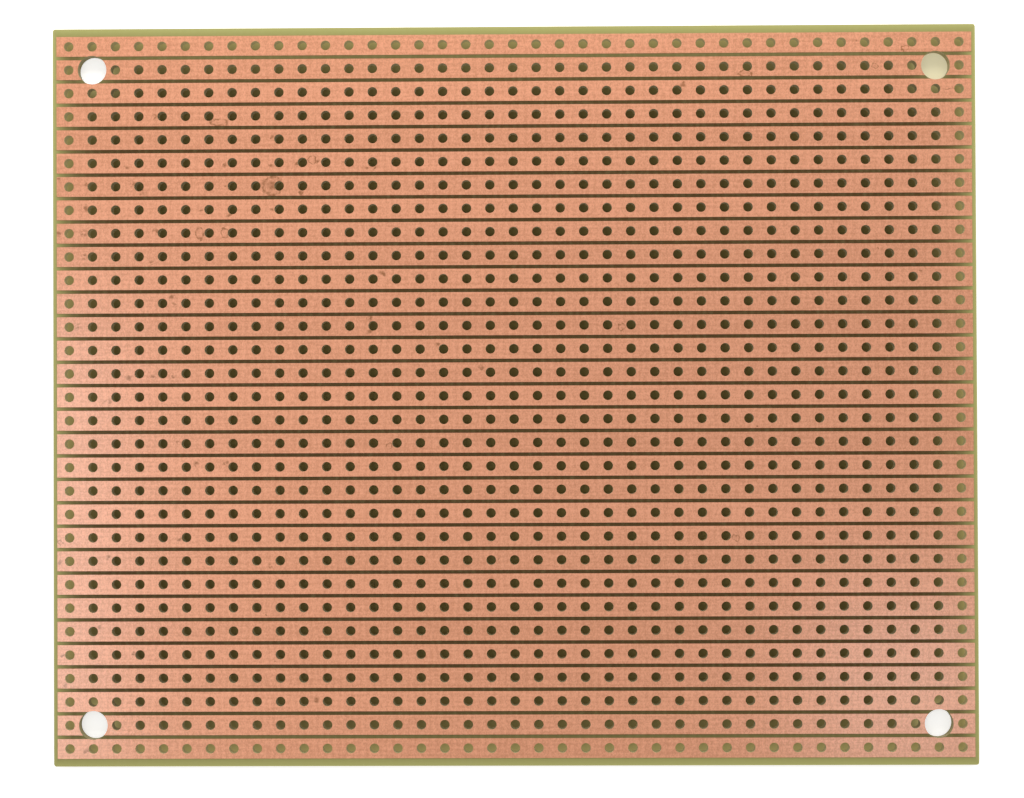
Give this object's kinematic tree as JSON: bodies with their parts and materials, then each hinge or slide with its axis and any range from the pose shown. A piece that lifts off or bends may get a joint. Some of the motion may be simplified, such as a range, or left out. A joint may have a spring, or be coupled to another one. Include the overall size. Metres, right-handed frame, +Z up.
{
  "type": "stripboard",
  "caption": "Bare copper stripboard: a thin rectangular drilled laminate with parallel copper strips on one face, a square grid of lead holes and a screw hole near each corner.",
  "frame": {"origin": "centre of the underside, the bare face, on the axis of the middle lead hole", "axes": "+X along the copper strips and the board's longer edge, +Y along its shorter edge, +Z up out of the copper side"},
  "size_m": [0.1, 0.08, 0.0016],
  "materials": {
    "laminate": "satin glass-epoxy laminate, olive green and slightly see-through",
    "copper": "satin copper foil under a thin clear lacquer, with a few brown tarnish marks"
  },
  "bodies": {
    "root": {"board": "laminate", "copper_strip_01": "copper", "copper_strip_02": "copper", "copper_strip_02_left_end": "copper", "copper_strip_02_right_end": "copper", "copper_strip_03": "copper", "copper_strip_04": "copper", "copper_strip_05": "copper", "copper_strip_06": "copper", "copper_strip_07": "copper", "copper_strip_08": "copper", "copper_strip_09": "copper", "copper_strip_10": "copper", "copper_strip_11": "copper", "copper_strip_12": "copper", "copper_strip_13": "copper", "copper_strip_14": "copper", "copper_strip_15": "copper", "copper_strip_16": "copper", "copper_strip_17": "copper", "copper_strip_18": "copper", "copper_strip_19": "copper", "copper_strip_20": "copper", "copper_strip_21": "copper", "copper_strip_22": "copper", "copper_strip_23": "copper", "copper_strip_24": "copper", "copper_strip_25": "copper", "copper_strip_26": "copper", "copper_strip_27": "copper", "copper_strip_28": "copper", "copper_strip_29": "copper", "copper_strip_30": "copper", "copper_strip_30_left_end": "copper", "copper_strip_30_right_end": "copper", "copper_strip_31": "copper"}
  },
  "joints": []
}
